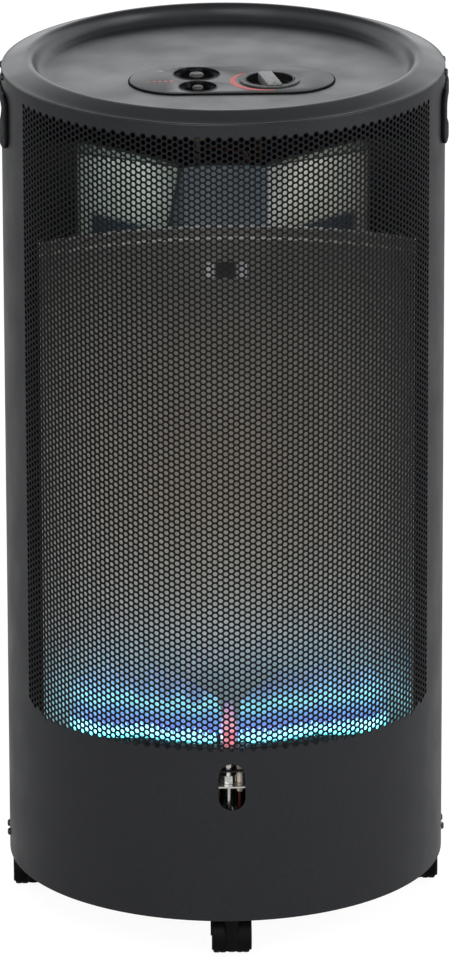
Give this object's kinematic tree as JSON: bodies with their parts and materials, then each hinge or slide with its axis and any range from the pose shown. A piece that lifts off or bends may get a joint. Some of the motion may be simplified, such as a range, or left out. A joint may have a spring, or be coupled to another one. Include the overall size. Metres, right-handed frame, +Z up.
{
  "type": "gas space heater",
  "caption": "Drum-shaped cabinet gas heater on castors, with a perforated front over a burner and reflector, a dished lid with knob and buttons, side handles and a rear door.",
  "frame": {"origin": "on the floor under the middle of the drum", "axes": "+Z up, -Y towards the perforated front with its flames, +X to the right seen from the front"},
  "size_m": [0.432, 0.425, 0.85],
  "materials": {
    "anthracite_coat": "satin anthracite powder coat",
    "panel_coat": "satin grey coat",
    "black_gloss": "glossy black moulding",
    "black_plastic": "matt black moulding",
    "grey_plastic": "satin grey moulding",
    "galvanised_steel": "bright galvanised sheet",
    "heat_stained_steel": "stainless sheet, slightly browned by heat",
    "brass": "turned brass",
    "copper": "drawn copper tube",
    "ceramic": "glazed beige ceramic",
    "black_screw": "blackened steel",
    "red_lead": "silicone-covered lead",
    "ferrite": "sintered ferrite magnet"
  },
  "bodies": {
    "cabinet": {"base_plate": "galvanised_steel", "bottle_tray": "galvanised_steel", "burner_left": "heat_stained_steel", "burner_manifold": "heat_stained_steel", "burner_right": "heat_stained_steel", "burner_tray": "galvanised_steel", "casing_hinge_leaf": "black_screw", "castor_front_stem": "galvanised_steel", "castor_left_stem": "galvanised_steel", "castor_rear_stem": "galvanised_steel", "castor_right_stem": "galvanised_steel", "concave_reflector": "heat_stained_steel", "control_panel": "panel_coat", "door_hinge_pin": "galvanised_steel", "door_magnet": "ferrite", "front_casing": "anthracite_coat", "gas_inlet": "brass", "gas_pipe": "copper", "gas_valve": "brass", "heat_shield": "galvanised_steel", "ignition_dish": "black_gloss", "ignition_lead": "red_lead", "injector": "brass", "injector_holder": "galvanised_steel", "knob_bezel": "grey_plastic", "lid_screw_front_left": "black_screw", "lid_screw_front_right": "black_screw", "lid_screw_rear_left": "black_screw", "lid_screw_rear_right": "black_screw", "mixing_tube": "galvanised_steel", "piezo_igniter": "black_plastic", "pilot_bracket": "galvanised_steel", "pilot_burner": "brass", "pilot_tube": "galvanised_steel", "rear_casing": "anthracite_coat", "reflector_bracket": "galvanised_steel", "side_handle_left": "black_plastic", "side_handle_right": "black_plastic", "spark_electrode": "ceramic", "start_dish": "black_gloss", "thermocouple": "copper", "top_lid": "anthracite_coat"},
    "knob": {"control_knob": "black_plastic", "valve_spindle": "brass"},
    "ignition_button": {"ignition_button": "grey_plastic"},
    "start_button": {"start_button": "grey_plastic"},
    "door": {"rear_door": "anthracite_coat", "door_hinge_leaf": "black_screw"},
    "castor_front": {"castor_front_hood": "black_plastic"},
    "castor_front_wheel_left": {"castor_front_wheel_left": "black_plastic"},
    "castor_front_wheel_right": {"castor_front_wheel_right": "black_plastic"},
    "castor_right": {"castor_right_hood": "black_plastic"},
    "castor_right_wheel_left": {"castor_right_wheel_left": "black_plastic"},
    "castor_right_wheel_right": {"castor_right_wheel_right": "black_plastic"},
    "castor_rear": {"castor_rear_hood": "black_plastic"},
    "castor_rear_wheel_left": {"castor_rear_wheel_left": "black_plastic"},
    "castor_rear_wheel_right": {"castor_rear_wheel_right": "black_plastic"},
    "castor_left": {"castor_left_hood": "black_plastic"},
    "castor_left_wheel_left": {"castor_left_wheel_left": "black_plastic"},
    "castor_left_wheel_right": {"castor_left_wheel_right": "black_plastic"}
  },
  "joints": [
    {"name": "knob_turn", "type": "hinge", "parent": "cabinet", "child": "knob", "pos_m": [0.043, -0.043, 0.8393], "axis": [0, 0, -1], "range_deg": [0, 150]},
    {"name": "ignition_press", "type": "slide", "parent": "cabinet", "child": "ignition_button", "axis": [0, 0, -1], "range_m": [0, 0.0055], "stiffness_N_per_m": 300, "springref_m": -0.003},
    {"name": "start_press", "type": "slide", "parent": "cabinet", "child": "start_button", "axis": [0, 0, -1], "range_m": [0, 0.0055], "stiffness_N_per_m": 300, "springref_m": -0.003},
    {"name": "door_swing", "type": "hinge", "parent": "cabinet", "child": "door", "pos_m": [-0.17045, 0.13317, 0.39], "axis": [0, 0, 1], "range_deg": [0, 110]},
    {"name": "castor_front_swivel", "type": "hinge", "parent": "cabinet", "child": "castor_front", "pos_m": [0, -0.19, 0.043], "axis": [0, 0, 1], "continuous": true},
    {"name": "castor_front_wheel_left_spin", "type": "hinge", "parent": "castor_front", "child": "castor_front_wheel_left", "pos_m": [-0.0111, -0.172, 0.02], "axis": [1, 0, 0], "continuous": true},
    {"name": "castor_front_wheel_right_spin", "type": "hinge", "parent": "castor_front", "child": "castor_front_wheel_right", "pos_m": [0.0111, -0.172, 0.02], "axis": [1, 0, 0], "continuous": true},
    {"name": "castor_right_swivel", "type": "hinge", "parent": "cabinet", "child": "castor_right", "pos_m": [0.19, 0, 0.043], "axis": [0, 0, 1], "continuous": true},
    {"name": "castor_right_wheel_left_spin", "type": "hinge", "parent": "castor_right", "child": "castor_right_wheel_left", "pos_m": [0.1789, 0.018, 0.02], "axis": [1, 0, 0], "continuous": true},
    {"name": "castor_right_wheel_right_spin", "type": "hinge", "parent": "castor_right", "child": "castor_right_wheel_right", "pos_m": [0.2011, 0.018, 0.02], "axis": [1, 0, 0], "continuous": true},
    {"name": "castor_rear_swivel", "type": "hinge", "parent": "cabinet", "child": "castor_rear", "pos_m": [0, 0.19, 0.043], "axis": [0, 0, 1], "continuous": true},
    {"name": "castor_rear_wheel_left_spin", "type": "hinge", "parent": "castor_rear", "child": "castor_rear_wheel_left", "pos_m": [-0.018, 0.1789, 0.02], "axis": [0, 1, 0], "continuous": true},
    {"name": "castor_rear_wheel_right_spin", "type": "hinge", "parent": "castor_rear", "child": "castor_rear_wheel_right", "pos_m": [-0.018, 0.2011, 0.02], "axis": [0, 1, 0], "continuous": true},
    {"name": "castor_left_swivel", "type": "hinge", "parent": "cabinet", "child": "castor_left", "pos_m": [-0.19, 0, 0.043], "axis": [0, 0, 1], "continuous": true},
    {"name": "castor_left_wheel_left_spin", "type": "hinge", "parent": "castor_left", "child": "castor_left_wheel_left", "pos_m": [-0.2011, 0.018, 0.02], "axis": [1, 0, 0], "continuous": true},
    {"name": "castor_left_wheel_right_spin", "type": "hinge", "parent": "castor_left", "child": "castor_left_wheel_right", "pos_m": [-0.1789, 0.018, 0.02], "axis": [1, 0, 0], "continuous": true}
  ]
}
